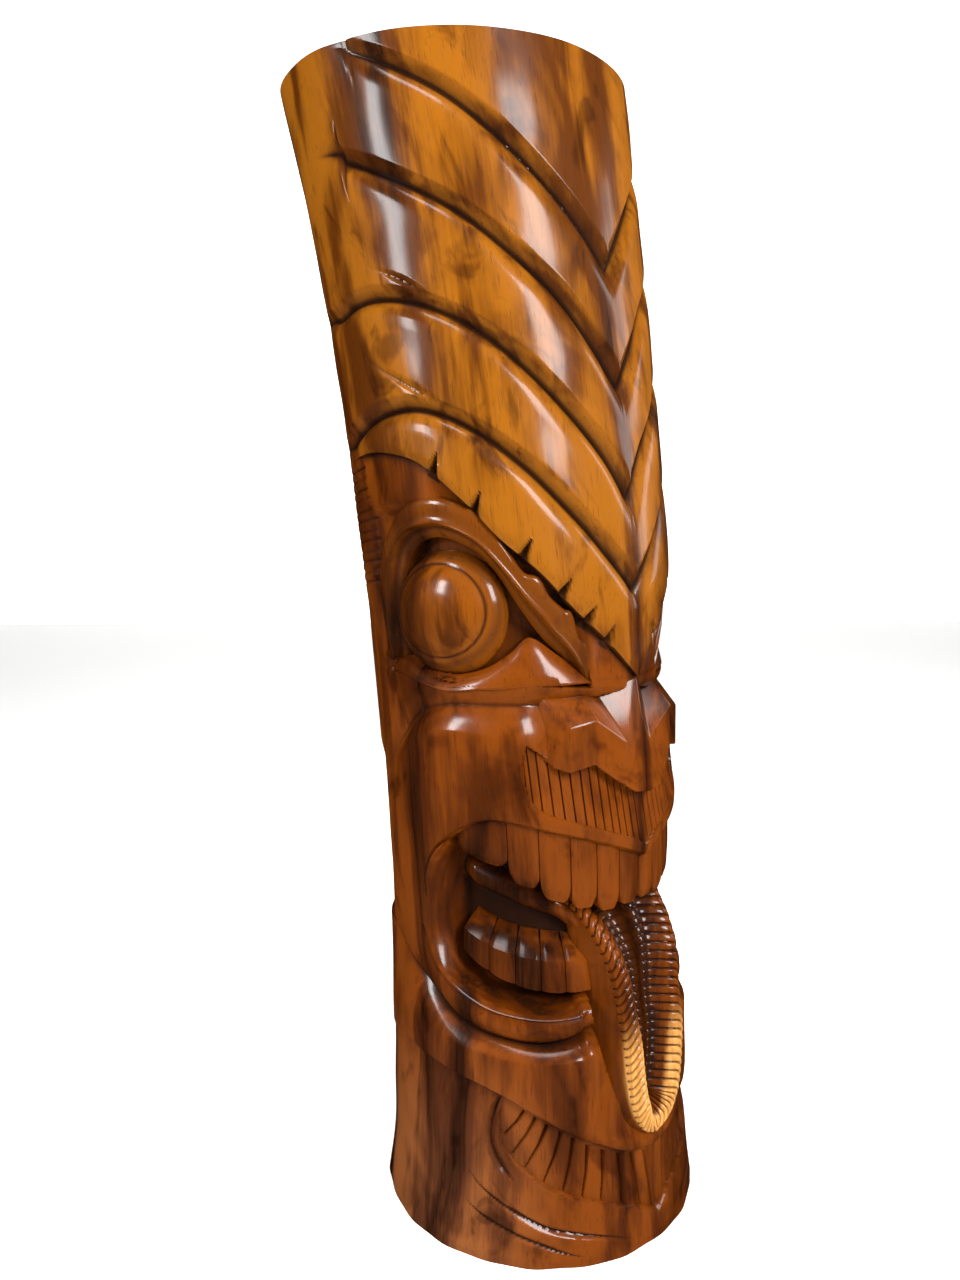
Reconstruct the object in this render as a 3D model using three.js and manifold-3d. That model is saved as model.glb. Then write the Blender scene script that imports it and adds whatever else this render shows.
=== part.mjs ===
// Tiki figure: a standing log carved with a chevron headdress, staring eyes, a faceted nose, bared
// teeth and a ribbed tongue that hangs over the chin. Millimetres, +Z up, the face looks along -Y,
// and the origin is the middle of the flat foot.
import * as THREE from 'three';
import { mergeVertices } from 'three/addons/utils/BufferGeometryUtils.js';
import Module from 'manifold-3d';

const wasm = await Module();
wasm.setup();

// ---- driving dimensions ----
const HEIGHT = 1034; // foot to the saw-cut crown
const TRUNK_RADIUS = 142; // the log at the height of the eyes
const CROWN_FLARE = 20; // extra radius at the crown
const FOOT_FLARE = 8; // extra radius at the foot
const FOOT_FLARE_HEIGHT = 100;
const BACKWARD_LEAN = 114; // how far the crown's middle stands behind the foot's
const LEAN_CURVE = 2.3; // the log is straight low down and leans more towards the crown
const FACE_CUT = 6; // wood taken off the front of the log before the face is carved
const FACE_CUT_LOW = 180;
const FACE_CUT_HIGH = 600;
const LOG_SIDES = 36;
const LOG_RINGS = 16;

const FIT_GAP = 0.35; // clearance between a carved piece and its seat
const CUTTER_RISE = 45; // how far a cutter stands out of the bark
const GROOVE_DEPTH = 10; // headdress chevrons
const GROOVE_WALL = 7; // steep side, under the upper band
const GROOVE_SLOPE = 16; // gentle side, over the lower band
const GROOVE_TAPER = 2.2; // how soon a groove runs out towards its far end
const GROOVE_END_DEPTH = 0.12; // share of the depth left at that end
const CUTTER_SPREAD = 2.5; // a cutter's width above the bark, in widths at the bark
const FOOT_GROOVE_DEPTH = 3;
const FOOT_GROOVE_HALF_WIDTH = 3;

const EYE_ALONG = 187; // eyeball's middle, measured along the bark from the centre line
const EYE_HEIGHT = 565;
const EYE_RADIUS = 50;
const EYE_BULGE = 27; // half the eyeball's thickness, out of the log
const EYE_DEPTH = 26; // eyeball's middle under the bark
const EYE_HOLLOW_DEPTH = 15;
const HOLLOW_OVERLAP = 3; // how far a hollow runs into the seat next to it
const EYELID_FLOOR = 32;
const EYELID_TOP = 4;

const BROW_FLOOR = 28;
const NOSE_FLOOR = 34;
const NOSE_TIP_RISE = 4;
const NOSE_BRIDGE_DEPTH = 13;
const MOUSTACHE_FLOOR = 26;
const MOUSTACHE_DEPTH = 8;
const MOUSTACHE_LINES = 16;
const MOUSTACHE_LINE_DEPTH = 1.6;

const MOUTH_DEPTH = 42;
const TOOTH_ROOT = 8; // how far the teeth run into the log behind the mouth
const UPPER_TEETH_PER_SIDE = 7;
const UPPER_TOOTH_DEPTH = 12; // how far the upper teeth stand back from the lip
const LOWER_TEETH_PER_SIDE = 5;
const LOWER_TOOTH_DEPTH = 20;
const TOOTH_ROUNDING = 4;

const CHIN_FLOOR = 30;
const CHIN_BULGE = 12;
const BEARD_FLOOR = 24;
const BEARD_DEPTH = 7;
const BEARD_LINES = 10;
const BEARD_LINE_DEPTH = 2;

const TONGUE_HALF_WIDTH = 48;
const TONGUE_RIM = 15;
const TONGUE_CHANNEL = 20;
const TONGUE_STANDS_OUT = 7;
const TONGUE_TIP = 0.3; // share of the half width at the tip
const TONGUE_ROUNDING = 0.88; // how fast the tip widens to the full width
const TONGUE_ROOT = 24; // how far the tongue runs into the log behind the mouth

// ---- outlines of the carving ----
// Each point is [distance along the bark from the face's centre line, height above the foot].
// They run from the centre line outwards, or from the inner corner to the outer one, and both
// sides of the face share them.
function outline(...points) {
  return new THREE.SplineCurve(points.map(([along, z]) => new THREE.Vector2(along, z)));
}

const CHEVRONS = [
  outline([0, 850], [34, 893], [69, 932], [94, 958], [118, 980], [140, 1000]),
  outline(
    [0, 752], [24, 785], [54, 823], [94, 862],
    [124, 888], [154, 908], [200, 934], [240, 951],
  ),
  outline(
    [0, 660], [24, 693], [54, 728], [94, 770], [124, 795],
    [154, 812], [200, 825], [250, 824], [300, 818],
  ),
];
const FOOT_GROOVES = [
  outline([24, 10], [84, 27], [144, 49], [174, 69], [192, 92]),
  outline([64, 6], [114, 19], [154, 32], [180, 46], [196, 60]),
];
const BROW_TOP = outline(
  [0, 584], [40, 626], [80, 669], [120, 705],
  [160, 728], [200, 734], [240, 727], [286, 708],
);
const BROW_EDGE = outline(
  [0, 508], [40, 546], [75, 579], [112, 615],
  [150, 656], [180, 684], [215, 700], [280, 698],
);
const EYELID_TOP_EDGE = outline(
  [48, 508], [84, 578], [118, 616], [152, 652],
  [200, 660], [240, 634], [270, 590], [284, 516],
);
const EYELID_EYE_EDGE = outline(
  [58, 500], [98, 550], [128, 592], [156, 618],
  [190, 627], [222, 614], [246, 582], [262, 522],
);
const LOWER_LID_TOP = outline(
  [64, 520], [112, 531], [150, 522],
  [190, 517], [225, 519], [258, 521],
);
const LOWER_LID_EDGE = outline(
  [62, 510], [112, 517], [150, 506],
  [190, 501], [225, 505], [260, 509],
);
const CHEEK_TOP = outline(
  [0, 480], [60, 486], [114, 489], [150, 489],
  [200, 486], [240, 476], [282, 440],
);
const NOSE_TOP = outline([0, 498], [30, 499], [60, 499], [88, 498], [100, 494]);
const NOSE_EDGE = outline([0, 409], [24, 413], [48, 434], [79, 435], [104, 446]);
const MOUSTACHE_TOP = outline(
  [0, 407.5], [24, 411.5], [48, 432.5],
  [79, 433.5], [104, 444.5], [117, 452],
);
const MOUSTACHE_EDGE = outline([0, 359], [30, 370], [60, 381], [90, 391], [113, 403], [123, 436]);
const MOUTH_TOP = outline(
  [0, 352], [60, 372], [120, 387], [165, 389],
  [200, 368], [224, 338], [231, 302],
);
const MOUTH_EDGE = outline(
  [0, 224], [60, 226], [110, 221], [150, 224],
  [190, 236], [219, 257], [230, 292],
);
const UPPER_TEETH_TOP = outline([0, 349], [34, 361], [74, 374], [114, 384], [150, 388], [188, 372]);
const UPPER_TEETH_EDGE = outline(
  [0, 307], [34, 309], [74, 316],
  [114, 333], [150, 349], [186, 360],
);
const LOWER_TEETH_TOP = outline([70, 290], [98, 299], [130, 299], [160, 294], [190, 284]);
const LOWER_TEETH_EDGE = outline([70, 250], [98, 248], [130, 250], [160, 254], [188, 262]);
const CHIN_TOP = outline(
  [0, 198], [60, 198], [114, 195], [154, 198],
  [194, 208], [234, 228], [270, 246],
);
const CHIN_EDGE = outline(
  [0, 86], [50, 98], [94, 122], [124, 140],
  [154, 155], [200, 165], [262, 170],
);
const BEARD_TOP = outline([0, 83], [34, 90], [64, 102], [94, 119.5], [124, 137.5], [148, 151]);
const BEARD_EDGE = outline([0, 20], [44, 40], [84, 55], [114, 68], [140, 86], [156, 124]);

// ---- the log's own shape ----
const lean = (z) => BACKWARD_LEAN * (Math.max(0, z) / HEIGHT) ** LEAN_CURVE;

function barkRadius(z) {
  const crown = CROWN_FLARE * (z / HEIGHT) ** 4;
  const foot = FOOT_FLARE * Math.max(0, 1 - z / FOOT_FLARE_HEIGHT) ** 2;
  return TRUNK_RADIUS + crown + foot;
}

/** Depth of the first cut that flattens the front of the log before the face is carved. */
function faceCut(angle, z) {
  const rise = THREE.MathUtils.smoothstep(z, FACE_CUT_LOW, FACE_CUT_LOW + 60);
  const fall = 1 - THREE.MathUtils.smoothstep(z, FACE_CUT_HIGH - 60, FACE_CUT_HIGH);
  const front = 1 - THREE.MathUtils.smoothstep(Math.abs(angle), Math.PI * 0.55, Math.PI * 0.8);
  return FACE_CUT * rise * fall * front;
}

/** The point at a distance along the bark, a height and a depth under the bark. */
function onLog(along, z, depth) {
  const angle = along / TRUNK_RADIUS;
  const radius = barkRadius(z) - faceCut(angle, z) - depth;
  return new THREE.Vector3(radius * Math.sin(angle), lean(z) - radius * Math.cos(angle), z);
}

// ---- geometry helpers ----
/** Moves every vertex of a unit geometry to place(x, y, z), and merges the shared ones. */
function reshape(geometry, place) {
  const position = geometry.attributes.position;
  for (let i = 0; i < position.count; i += 1) {
    const point = place(position.getX(i), position.getY(i), position.getZ(i));
    position.setXYZ(i, point.x, point.y, point.z);
  }
  geometry.deleteAttribute('normal');
  geometry.deleteAttribute('uv');
  return mergeVertices(geometry, 1e-3);
}

function toSolid(geometry) {
  const vertProperties = new Float32Array(geometry.attributes.position.array);
  const triVerts = new Uint32Array(geometry.index.array);
  return new wasm.Manifold(new wasm.Mesh({ numProp: 3, vertProperties, triVerts }));
}

function toGeometry(solid) {
  const mesh = solid.getMesh();
  const geometry = new THREE.BufferGeometry();
  geometry.setAttribute('position', new THREE.BufferAttribute(mesh.vertProperties, mesh.numProp));
  geometry.setIndex(new THREE.BufferAttribute(mesh.triVerts, 1));
  return geometry.toNonIndexed();
}

/**
 * A panel carved on the log between two outlines. `side` is 1 or -1 for one side of the face, and 0
 * for a panel that crosses the centre line. surface(t, u) is the depth of its outer face, where t
 * runs along the outlines and u from the lower one to the upper one. `grow` widens it all round,
 * and `rise` clears the space above its outer face, which its seat in the log needs.
 */
function panel({ top, edge, floor, surface, side = 0, steps = 24, across = 3, grow = 0, rise = 0 }) {
  const box = new THREE.BoxGeometry(1, 1, 1, steps, across, rise > 0 ? 2 : 1);
  return toSolid(reshape(box, (x, y, w) => {
    const signed = side === 0 ? 2 * x : side * (0.5 + side * x);
    const mirror = side === 0 ? Math.sign(x) : side;
    const t = Math.abs(signed);
    const low = edge.getPoint(t);
    const high = top.getPoint(t);
    const up = high.clone().sub(low).normalize().multiplyScalar(grow);
    low.sub(up);
    high.add(up);
    const point = low.lerp(high, y + 0.5);
    const atEnd = Math.abs(x) > 0.499;
    const outward = t > 0.5 ? 1 : -1;
    if (atEnd) point.addScaledVector(top.getTangent(t), outward * grow);
    const face = surface(t, y + 0.5) - (w > 0.1 ? rise : 0);
    return onLog(mirror * point.x, point.y, w < -0.1 ? floor + grow : face);
  }));
}

/** A V-shaped groove cutter along an outline: a steep wall above it and a slope below it. */
function grooveCutter({ path, side, depth, wall, slope, steps = 10 }) {
  const prism = new THREE.CylinderGeometry(1, 1, 1, 3, steps);
  return toSolid(reshape(prism, (x, y, z) => {
    const t = 0.5 + side * y;
    const taper = Math.max(GROOVE_END_DEPTH, Math.min(1, GROOVE_TAPER * (1 - t)));
    const start = t < 0.001 ? -wall : 0;
    const point = path.getPoint(t);
    const tangent = path.getTangent(t);
    const corner = Math.round(Math.atan2(x, z) / (Math.PI / 3));
    const reach = corner === 0 ? 0 : (corner < 0 ? -slope : wall);
    const lift = corner === 0 ? depth * taper : -depth * 1.5;
    const offset = reach * (corner === 0 ? 1 : taper * CUTTER_SPREAD);
    const along = point.x + start - tangent.y * offset;
    return onLog(side * along, point.y + tangent.x * offset, lift);
  }));
}

// ---- pieces ----
const pieces = [];

/** Adds a piece, and cuts its seat out of every piece that is there already. */
function seat(name, solid, pocket, look) {
  for (const earlier of pieces) earlier.solid = earlier.solid.subtract(pocket);
  pieces.push({ name, solid, look });
}

function seatPanel(name, shape, look) {
  const pocket = panel({ ...shape, grow: FIT_GAP, rise: shape.clear ?? CUTTER_RISE });
  seat(name, panel(shape), pocket, look);
}

const SIDES = [['right', -1], ['left', 1]];
const WOOD = { color: '#9a5a22', roughness: 0.35, metalness: 0 };
const PALE_WOOD = { color: '#b98440', roughness: 0.35, metalness: 0 };
const DARK_WOOD = { color: '#6b3815', roughness: 0.35, metalness: 0 };

/** The log itself, with its chevrons, foot grooves, eye hollows and mouth cut into it. */
function log() {
  const cylinder = new THREE.CylinderGeometry(1, 1, 1, LOG_SIDES, LOG_RINGS);
  let solid = toSolid(reshape(cylinder, (x, y, z) => {
    const height = (y + 0.5) * HEIGHT;
    const reach = Math.hypot(x, z);
    if (reach < 0.001) return new THREE.Vector3(0, lean(height), height);
    return onLog(Math.atan2(x, z) * TRUNK_RADIUS, height, 0);
  }));
  for (const [, side] of SIDES) {
    for (const path of CHEVRONS) {
      const shape = { path, side, depth: GROOVE_DEPTH, wall: GROOVE_WALL, slope: GROOVE_SLOPE };
      solid = solid.subtract(grooveCutter(shape));
    }
    for (const path of FOOT_GROOVES) {
      const half = FOOT_GROOVE_HALF_WIDTH;
      const shape = { path, side, depth: FOOT_GROOVE_DEPTH, wall: half, slope: half, steps: 6 };
      solid = solid.subtract(grooveCutter(shape));
    }
  }
  const bark = () => 0;
  const hollow = { surface: bark, rise: CUTTER_RISE, steps: 24, across: 1 };
  const eyeShape = { top: BROW_EDGE, edge: CHEEK_TOP, floor: EYE_HOLLOW_DEPTH, grow: HOLLOW_OVERLAP };
  const eyes = panel({ ...hollow, ...eyeShape });
  const mouth = panel({ ...hollow, top: MOUTH_TOP, edge: MOUTH_EDGE, floor: MOUTH_DEPTH });
  return solid.subtract(eyes).subtract(mouth);
}

function brow() {
  return { top: BROW_TOP, edge: BROW_EDGE, floor: BROW_FLOOR, surface: () => 0, steps: 24, across: 1 };
}

function upperEyelid(side) {
  const surface = (t, u) => EYELID_TOP + 10 * (2 * u - 1) ** 2;
  const lid = { top: EYELID_TOP_EDGE, edge: EYELID_EYE_EDGE, floor: EYELID_FLOOR };
  return { ...lid, surface, side, steps: 12, across: 2 };
}

function lowerEyelid(side) {
  const surface = () => EYE_HOLLOW_DEPTH - 5;
  const lid = { top: LOWER_LID_TOP, edge: LOWER_LID_EDGE, floor: EYELID_FLOOR };
  return { ...lid, surface, side, steps: 6, across: 1 };
}

/** An eyeball is a flattened dome that faces straight out of the log. */
function eyeball(side, grow) {
  const middle = onLog(side * EYE_ALONG, EYE_HEIGHT, EYE_DEPTH);
  const angle = (side * EYE_ALONG) / TRUNK_RADIUS;
  const sphere = new THREE.SphereGeometry(1, 20, 12);
  const radius = EYE_RADIUS + grow;
  sphere.scale(radius, EYE_BULGE + grow, radius);
  sphere.rotateZ(angle);
  sphere.translate(middle.x, middle.y, middle.z);
  return toSolid(reshape(sphere, (x, y, z) => new THREE.Vector3(x, y, z)));
}

/** The nose leans out from its bridge to a ridge above the moustache, with two flared wings. */
function nose() {
  const surface = (t, u) => {
    const wing = 0.5 - 0.5 * Math.cos(Math.PI * Math.min(1, t * 1.6));
    return THREE.MathUtils.lerp(-NOSE_TIP_RISE, NOSE_BRIDGE_DEPTH * (1 - 0.6 * wing), u);
  };
  return { top: NOSE_TOP, edge: NOSE_EDGE, floor: NOSE_FLOOR, surface, steps: 12, across: 2 };
}

function engraved(depth, lines, lineDepth) {
  return (t) => depth + (Math.round(t * lines * 2) % 2 === 0 ? 0 : lineDepth);
}

function moustache() {
  const surface = engraved(MOUSTACHE_DEPTH, MOUSTACHE_LINES / 2, MOUSTACHE_LINE_DEPTH);
  const steps = MOUSTACHE_LINES * 2;
  return { top: MOUSTACHE_TOP, edge: MOUSTACHE_EDGE, floor: MOUSTACHE_FLOOR, surface, steps, across: 1 };
}

/** Depth of a row of rounded teeth: deepest between two teeth and at their free edge. */
function toothRow(depth, count, freeEdge) {
  return (t, u) => {
    const between = Math.abs(Math.cos(Math.PI * t * count));
    const nearEdge = Math.abs(u - freeEdge) < 0.2 ? 1 : 0;
    return depth + TOOTH_ROUNDING * Math.max(between ** 3, 0.7 * nearEdge);
  };
}

function upperTeeth() {
  const surface = toothRow(UPPER_TOOTH_DEPTH, UPPER_TEETH_PER_SIDE, 0);
  const steps = UPPER_TEETH_PER_SIDE * 4;
  const row = { top: UPPER_TEETH_TOP, edge: UPPER_TEETH_EDGE, floor: MOUTH_DEPTH + TOOTH_ROOT };
  return { ...row, surface, steps, across: 2, clear: FIT_GAP };
}

function lowerTeeth(side) {
  const surface = toothRow(LOWER_TOOTH_DEPTH, LOWER_TEETH_PER_SIDE, 1);
  const steps = LOWER_TEETH_PER_SIDE * 2;
  const row = { top: LOWER_TEETH_TOP, edge: LOWER_TEETH_EDGE, floor: MOUTH_DEPTH + TOOTH_ROOT };
  return { ...row, surface, side, steps, across: 2, clear: FIT_GAP };
}

function chin() {
  const surface = (t, u) => CHIN_BULGE * u ** 2;
  return { top: CHIN_TOP, edge: CHIN_EDGE, floor: CHIN_FLOOR, surface, steps: 20, across: 3 };
}

function beard() {
  const surface = engraved(BEARD_DEPTH, BEARD_LINES, BEARD_LINE_DEPTH);
  const steps = BEARD_LINES * 4;
  return { top: BEARD_TOP, edge: BEARD_EDGE, floor: BEARD_FLOOR, surface, steps, across: 1 };
}

// The tongue's middle line from its tip up over the chin and back into the mouth:
// (height, depth of the rim's crest, depth of its underside).
const TONGUE_LINE = new THREE.CatmullRomCurve3([
  new THREE.Vector3(94, 0, 14),
  new THREE.Vector3(120, -TONGUE_STANDS_OUT, 20),
  new THREE.Vector3(200, -TONGUE_STANDS_OUT, 26),
  new THREE.Vector3(255, -4, MOUTH_DEPTH + 8),
  new THREE.Vector3(296, 18, MOUTH_DEPTH + 20),
  new THREE.Vector3(306, MOUTH_DEPTH - 2, MOUTH_DEPTH + TONGUE_ROOT),
]);

function tongue(grow) {
  const box = new THREE.BoxGeometry(1, 1, 1, 8, 12, grow > 0 ? 2 : 1);
  return toSolid(reshape(box, (x, y, w) => {
    const [height, crest, underside] = TONGUE_LINE.getPoint(y + 0.5).toArray();
    const widening = TONGUE_TIP + TONGUE_ROUNDING * Math.sqrt(Math.max(0, y + 0.5));
    const half = TONGUE_HALF_WIDTH * Math.min(1, widening);
    const along = 2 * x * (half + grow);
    const inChannel = Math.abs(along) < half - TONGUE_RIM && y > -0.45 ? 1 : 0;
    const end = Math.abs(y) > 0.499 ? Math.sign(y) * grow : 0;
    const face = crest + inChannel * TONGUE_CHANNEL;
    const rise = w > 0.1 && grow > 0 ? CUTTER_RISE : 0;
    return onLog(along, height + end, w < -0.1 ? underside + grow : face - rise);
  }));
}

seat('log_body', log(), log(), WOOD);
seatPanel('brow', brow(), PALE_WOOD);
for (const [name, side] of SIDES) {
  seatPanel(`upper_eyelid_${name}`, upperEyelid(side), DARK_WOOD);
  seatPanel(`lower_eyelid_${name}`, lowerEyelid(side), WOOD);
  seat(`eyeball_${name}`, eyeball(side, 0), eyeball(side, FIT_GAP), PALE_WOOD);
}
seatPanel('nose', nose(), WOOD);
seatPanel('moustache', moustache(), WOOD);
seatPanel('upper_teeth', upperTeeth(), WOOD);
for (const [name, side] of SIDES) seatPanel(`lower_teeth_${name}`, lowerTeeth(side), DARK_WOOD);
seatPanel('chin', chin(), DARK_WOOD);
seatPanel('beard', beard(), WOOD);
seat('tongue', tongue(0), tongue(FIT_GAP), PALE_WOOD);

const figure = new THREE.Group();
for (const { name, solid, look } of pieces) {
  const mesh = new THREE.Mesh(toGeometry(solid), new THREE.MeshStandardMaterial(look));
  mesh.name = name;
  figure.add(mesh);
}

export default figure;
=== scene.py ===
import math

import bmesh
import bpy
import numpy as np
from mathutils import Matrix, Vector


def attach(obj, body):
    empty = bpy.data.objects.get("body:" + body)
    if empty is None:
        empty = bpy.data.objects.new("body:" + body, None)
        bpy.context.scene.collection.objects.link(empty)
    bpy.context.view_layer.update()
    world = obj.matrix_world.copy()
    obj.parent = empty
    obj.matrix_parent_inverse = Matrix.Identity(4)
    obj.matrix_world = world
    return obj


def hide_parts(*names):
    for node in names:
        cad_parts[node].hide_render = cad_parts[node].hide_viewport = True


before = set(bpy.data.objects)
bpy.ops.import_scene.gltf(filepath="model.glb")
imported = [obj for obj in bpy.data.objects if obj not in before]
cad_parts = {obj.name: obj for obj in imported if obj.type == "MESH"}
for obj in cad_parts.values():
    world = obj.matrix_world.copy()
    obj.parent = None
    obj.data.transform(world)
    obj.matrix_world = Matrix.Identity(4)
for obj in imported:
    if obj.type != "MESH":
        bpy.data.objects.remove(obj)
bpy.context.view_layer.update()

MM = 1000.0  # in one metre

# ---- the log, in millimetres ----
HEIGHT = 1034.0
TRUNK_RADIUS = 142.0
CROWN_FLARE = 20.0
FOOT_FLARE = 8.0
LEAN = 114.0
LEAN_CURVE = 2.3
FACE_CUT = 6.0
HALF_WAY_ROUND = math.pi * TRUNK_RADIUS
FINE_STEP = 1.5  # spacing of the carved columns
FINE_UNTIL = 321.0  # how far round from the face's centre line the carving is fine
BACK_STEP = 6.0

GROOVE_DEPTH = 9.5
GROOVE_WALL = 12.0  # flat slanted side above a chevron's deepest line
GROOVE_ROLL = 22.0  # rolled side below it
SOCKET_DEPTH = 17.0
MOUTH_DEPTH = 42.0
BEARD_DEPTH = 8.0
HEART_DEPTH = 60.0  # where a band of the log turns in to its heart
EYE_SEAT = (187.0, 565.0, 52.0)  # distance round, height and radius of the hollow for an eye
EYE_CENTRE = (189.0, 563.0, 26.0)  # distance round, height and depth under the bark
EYE_RADIUS = 54.0
EYE_BULGE = 27.0
DOME_WIDE, DOME_TALL = 45.0, 39.0
DOME_SHIFT = 3.0  # outwards and up from the ball's centre
HATCH_COUNT, HATCH_FOOT, HATCH_PITCH = 12, 586, 9.0
LIP_PANEL_HALF = 119.0
TOOTH_GAP = 0.35  # each side
TOOTH_BACK = 52.0
RIB_PITCH = 7.6
NOTCH_DEPTH = 9.0

# ---- outlines: distance round from the centre line, height above the foot ----
CHIN_EDGE = [
    (0, 85), (34, 92), (64, 105), (94, 122), (124, 140), (154, 155), (200, 165), (250, 168), (300, 165),
    (446, 160),
]
LIP_FOOT = [
    (0, 205), (40, 206), (69, 206), (84, 200), (114, 196), (154, 200), (194, 210), (234, 232), (264, 245),
    (294, 258), (340, 264), (446, 264),
]
MOUTH_LOW = [
    (0, 228), (40, 228), (69, 227), (79, 222), (109, 220), (144, 223), (169, 228), (199, 240), (219, 255),
    (228, 270), (233, 284), (246, 287), (446, 287),
]
MOUTH_HIGH = [
    (0, 349), (34, 362), (74, 375), (114, 385), (144, 390), (164, 388), (184, 378), (209, 360), (222, 342),
    (229, 320), (233, 302), (246, 297), (446, 297),
]
BROW_EDGE = [
    (0, 508), (39, 545), (69, 572), (94, 600), (124, 627), (144, 650), (159, 665), (179, 683), (199, 694),
    (234, 700), (269, 698), (320, 690), (446, 688),
]
CHEVRON_LOW = [
    (0, 582), (34, 618), (64, 650), (94, 681), (124, 706), (154, 724), (184, 733), (214, 732), (244, 725),
    (274, 715), (304, 706), (446, 704),
]
CHEVRON_MID = [
    (0, 660), (24, 693), (54, 728), (94, 770), (124, 795), (154, 812), (184, 822), (214, 826), (244, 824),
    (274, 818), (304, 820), (446, 820),
]
CHEVRON_HIGH = [
    (0, 752), (24, 785), (54, 823), (94, 862), (124, 888), (154, 908), (184, 925), (214, 940), (244, 953),
    (446, 962),
]
CHEVRON_TOP = [
    (0, 850), (34, 893), (69, 932), (94, 958), (124, 985), (159, 1008), (190, 1024), (215, 1036),
    (446, 1100),
]
# each chevron, and how far round it runs out
CHEVRONS = [(CHEVRON_TOP, 215), (CHEVRON_HIGH, 262), (CHEVRON_MID, 330), (CHEVRON_LOW, 330)]
SIDE_CUT_MID = [(124, 795), (154, 818), (179, 838), (219, 857)]
SIDE_CUT_LOW = [(124, 706), (154, 732), (194, 757), (254, 793)]
CHEEK_TOP = [
    (0, 480), (60, 486), (114, 488), (144, 488), (199, 485), (234, 474), (259, 455), (279, 430), (300, 400),
    (446, 390),
]
LID_OUT = [
    (47, 497), (47, 510), (52, 538), (59, 544), (66, 566), (73, 569), (86, 580), (94, 596), (107, 600),
    (120, 620), (134, 640), (154, 655), (184, 662), (214, 655), (244, 630), (264, 600), (279, 560),
    (284, 514),
]
LID_IN = [(50, 498), (69, 522), (94, 545), (114, 570), (134, 600), (154, 618), (187, 628), (219, 619),
          (242, 590), (254, 560), (264, 530), (272, 512)]
LOWER_LID_TOP = [
    (54, 514), (80, 530), (106, 544), (128, 530), (155, 517), (190, 511), (222, 515), (246, 522),
    (268, 520), (280, 512),
]
LOWER_LID_EDGE = [
    (50, 505), (80, 504), (112, 503), (135, 501), (160, 500), (190, 497), (222, 500), (246, 505),
    (268, 507), (280, 509),
]
MOUTH = [
    (0, 349), (34, 362), (74, 375), (114, 385), (144, 390), (164, 388), (184, 378), (209, 360), (224, 340),
    (231, 310), (231, 280), (219, 255), (199, 240), (169, 228), (144, 223), (109, 220), (79, 222),
    (69, 227), (0, 228),
]
MOUSTACHE_EDGE = [(0, 358), (14, 366), (54, 380), (94, 393), (112, 401), (121, 416), (123, 436), (119, 456)]
MOUSTACHE_TOP = [(0, 416), (20, 418), (42, 432), (60, 443), (80, 440), (96, 446), (108, 454), (117, 460)]
TEETH_TOP = [(0, 351), (34, 364), (74, 377), (114, 387), (150, 391), (188, 376)]
# each upper tooth: from, to and the height of its lower end
UPPER_TEETH = [(0, 27, 308), (27, 53, 307), (53, 80, 312), (80, 110, 320), (110, 140, 333), (140, 191, 352)]
LOWER_TEETH = [(58, 86), (86, 112), (112, 139), (139, 168), (168, 198)]
LOWER_GUM = [(58, 236), (86, 236), (112, 238), (139, 243), (168, 252), (200, 268)]
BEARD_TOP = [(0, 83), (34, 90), (64, 103), (94, 120), (124, 138), (149, 153)]
BEARD_EDGE = [
    (0, 20), (14, 28), (44, 40), (84, 55), (114, 68), (142, 88), (154, 105), (157, 130), (150, 152),
]
BEARD_CUTS = [
    ((-9, 84), (-15, 22)), ((8, 84), (2, 12)), ((25, 87), (17, 24)), ((40, 90), (39, 36)),
    ((57, 95), (61, 45)), ((72, 102), (79, 53)), ((86, 110), (97, 61)), ((97, 118), (114, 72)),
    ((109, 126), (131, 84)), ((119, 133), (142, 97)), ((129, 139), (149, 114)),
]
FOOT_CUT_HIGH = [(192, 93), (174, 70), (144, 50), (114, 35), (84, 28), (54, 20), (24, 8)]
FOOT_CUT_LOW = [(197, 60), (174, 43), (144, 30), (114, 20), (94, 13), (64, 5)]
# each cut beside the beard: line, depth, width, and the share that runs out at each end
FOOT_CUTS = [
    ([(146, 157), (158, 134), (161, 108), (150, 86), (134, 72)], 5.0, 11.0, 0.25),
    ([(170, 92), (150, 60), (130, 44), (100, 31), (60, 21), (20, 6)], 1.5, 5.0, 0.25),
    (FOOT_CUT_HIGH, 3.4, 8.5, 0.45), (FOOT_CUT_LOW, 3.0, 7.0, 0.45),
]
# each notch: its open end, then its tip
BROW_NOTCHES = [
    (179, 683, 168, 700), (146, 652, 135, 668), (109, 615, 97, 630), (79, 583, 67, 597), (56, 560, 45, 573),
    (36, 542, 26, 556),
]
TONGUE_SIDE = [
    (118, 323), (98, 318), (80, 310), (67, 298), (58, 283), (51, 265), (45, 240), (41, 205), (37, 165),
    (33, 140), (26, 119), (15, 103), (0, 96),
]

NOSE_SEAT = [(0, 418), (24, 420), (44, 434), (80, 441), (98, 450), (96, 492), (46, 496), (12, 500), (0, 504)]
TONGUE_ROOT = [(50, 282), (75, 300), (95, 309), (130, 318), (160, 325), (185, 330), (204, 336)]
LIP_PANEL_CUTS = [6, 14, 22, 30, 38, 47, 56, 65, 75, 85, 95, 105, 113]


# ---- measuring on the bark ----
def sign(side):
    return -1 if side == "right" else 1


def spread(points, per_span=10):
    """A smooth curve through the points of an outline (Catmull-Rom)."""
    p = np.array(points, float)
    ends = np.vstack([2 * p[0] - p[1], p, 2 * p[-1] - p[-2]])
    t = np.linspace(0, 1, per_span, endpoint=False)[:, None]
    spans = []
    for i in range(len(p) - 1):
        a, b, c, d = ends[i:i + 4]
        spans.append(0.5 * (2 * b + (c - a) * t + (2 * a - 5 * b + 4 * c - d) * t ** 2
                            + (3 * b - a - 3 * c + d) * t ** 3))
    return np.vstack(spans + [p[-1:]])


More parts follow.
